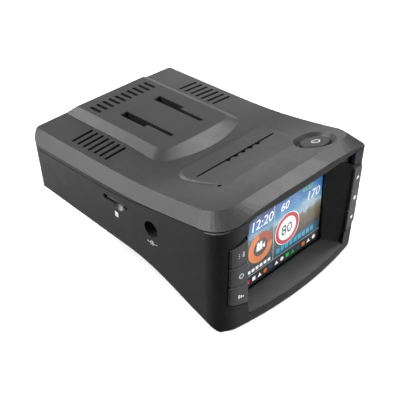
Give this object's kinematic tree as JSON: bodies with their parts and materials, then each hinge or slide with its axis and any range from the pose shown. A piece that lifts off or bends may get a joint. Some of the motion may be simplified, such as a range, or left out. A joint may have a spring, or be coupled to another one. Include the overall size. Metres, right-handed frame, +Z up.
{
  "type": "radar detector",
  "caption": "Windscreen radar detector with a recessed colour display, front keys, a power button, vented cover, bracket slots, card slot and power inlet.",
  "frame": {"origin": "centre of the body in plan, on the plane through the two ends of the front lip", "axes": "+Z up, -Y towards the driver (the display looks along -Y), +Y towards the road, -X is the side with the card slot and the power inlet"},
  "size_m": [0.086, 0.113, 0.0546],
  "materials": {
    "shell_plastic": "fine moulded spark texture, satin",
    "bezel_plastic": "smooth satin",
    "key_plastic": "fine satin",
    "button_plastic": "smooth, slightly glossy",
    "clear_window": "clear, polished",
    "lcd_glass": "dark, polished",
    "dark_window": "polished, infrared clear",
    "lens_glass": "coated, polished",
    "tinned_steel": "tin plated",
    "screw_steel": "black zinc",
    "horn_metal": "die cast",
    "circuit_board": "solder mask",
    "switch_plastic": "moulded",
    "antenna_ceramic": "fired, silver patch",
    "capacitor_can": "printed sleeve",
    "card_plastic": "moulded",
    "flex_film": "polyimide film"
  },
  "bodies": {
    "case": {"backup_capacitor": "capacitor_can", "board_screws": "screw_steel", "camera_board": "circuit_board", "camera_housing": "bezel_plastic", "camera_lens": "lens_glass", "card_socket": "tinned_steel", "case_screws": "screw_steel", "dc_jack": "switch_plastic", "display_bracket": "tinned_steel", "display_ribbon": "flex_film", "display_surround": "bezel_plastic", "display_window": "clear_window", "gps_antenna": "antenna_ceramic", "laser_lens": "lens_glass", "laser_receiver": "switch_plastic", "laser_window": "dark_window", "lcd_panel": "lcd_glass", "left_key_board": "circuit_board", "left_key_switches": "switch_plastic", "lower_shell": "shell_plastic", "main_board": "circuit_board", "microphone": "tinned_steel", "power_board": "circuit_board", "power_switch": "switch_plastic", "processor_shield": "tinned_steel", "radar_board": "circuit_board", "radar_horn": "horn_metal", "right_key_board": "circuit_board", "right_key_switches": "switch_plastic", "speaker": "switch_plastic", "top_shell": "shell_plastic"},
    "left_lower_key": {"left_lower_key": "key_plastic"},
    "left_middle_key": {"left_middle_key": "key_plastic"},
    "left_upper_key": {"left_upper_key": "key_plastic"},
    "right_lower_key": {"right_lower_key": "key_plastic"},
    "right_middle_key": {"right_middle_key": "key_plastic"},
    "right_upper_key": {"right_upper_key": "key_plastic"},
    "power_button": {"power_button": "button_plastic"},
    "memory_card": {"memory_card": "card_plastic"}
  },
  "joints": [
    {"name": "left_lower_key_press", "type": "slide", "parent": "case", "child": "left_lower_key", "axis": [0, 1, 0], "range_m": [0, 0.0004], "stiffness_N_per_m": 60, "springref_m": -0.0003},
    {"name": "left_middle_key_press", "type": "slide", "parent": "case", "child": "left_middle_key", "axis": [0, 1, 0], "range_m": [0, 0.0004], "stiffness_N_per_m": 60, "springref_m": -0.0003},
    {"name": "left_upper_key_press", "type": "slide", "parent": "case", "child": "left_upper_key", "axis": [0, 1, 0], "range_m": [0, 0.0004], "stiffness_N_per_m": 60, "springref_m": -0.0003},
    {"name": "right_lower_key_press", "type": "slide", "parent": "case", "child": "right_lower_key", "axis": [0, 1, 0], "range_m": [0, 0.0004], "stiffness_N_per_m": 60, "springref_m": -0.0003},
    {"name": "right_middle_key_press", "type": "slide", "parent": "case", "child": "right_middle_key", "axis": [0, 1, 0], "range_m": [0, 0.0004], "stiffness_N_per_m": 60, "springref_m": -0.0003},
    {"name": "right_upper_key_press", "type": "slide", "parent": "case", "child": "right_upper_key", "axis": [0, 1, 0], "range_m": [0, 0.0004], "stiffness_N_per_m": 60, "springref_m": -0.0003},
    {"name": "power_button_press", "type": "slide", "parent": "case", "child": "power_button", "axis": [-0.0292, -0.2333, -0.972], "range_m": [0, 0.0006], "stiffness_N_per_m": 60, "springref_m": -0.0004},
    {"name": "memory_card_slide", "type": "slide", "parent": "case", "child": "memory_card", "axis": [-1, 0, 0], "range_m": [0, 0.014]}
  ]
}
